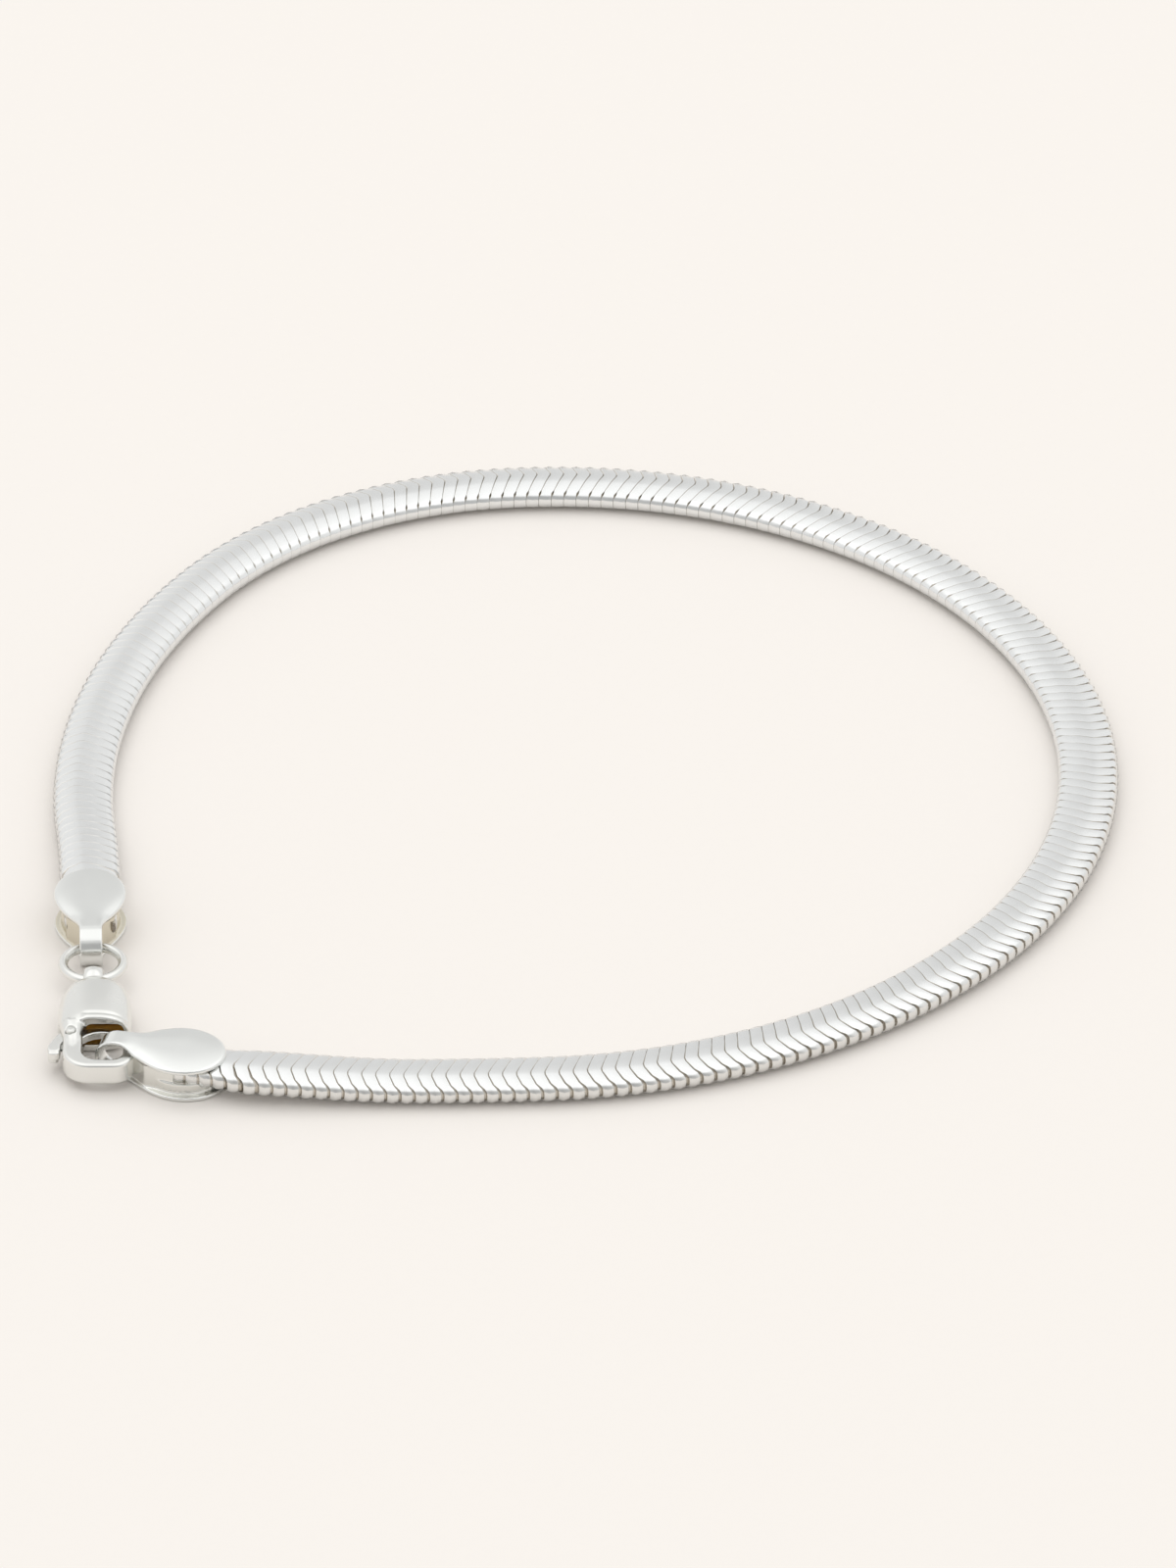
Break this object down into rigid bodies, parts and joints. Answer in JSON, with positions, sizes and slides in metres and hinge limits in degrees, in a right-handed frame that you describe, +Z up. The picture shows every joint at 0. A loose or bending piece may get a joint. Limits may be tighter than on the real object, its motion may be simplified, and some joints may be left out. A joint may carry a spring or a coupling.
{
  "type": "chain bracelet",
  "caption": "Flattened snake-chain bracelet in polished silver, lying fastened in a loop, with folded end caps, a jump ring and a lobster clasp with a sprung lever.",
  "frame": {"origin": "on the surface that the bracelet lies on, under the middle of its bounding box", "axes": "+Z up from the surface, the clasp at the -X -Y corner with its tail towards +Y"},
  "size_m": [0.0596, 0.0636, 0.0023],
  "materials": {
    "chain_silver": "polished silver links",
    "cap_silver": "polished silver sheet",
    "clasp_silver": "polished cast silver"
  },
  "bodies": {
    "bracelet": {"snake_chain": "chain_silver", "ring_end_cap": "cap_silver", "hook_end_cap": "cap_silver", "jump_ring": "clasp_silver", "clasp_body": "clasp_silver", "clasp_rivet": "clasp_silver"},
    "lever": {"clasp_lever": "clasp_silver"}
  },
  "joints": [
    {"name": "lever_swing", "type": "hinge", "parent": "bracelet", "child": "lever", "pos_m": [-0.0279, -0.02707, 0.00117], "axis": [0, 0, 1], "range_deg": [-20, 0], "stiffness_Nm_per_rad": 0.002}
  ]
}
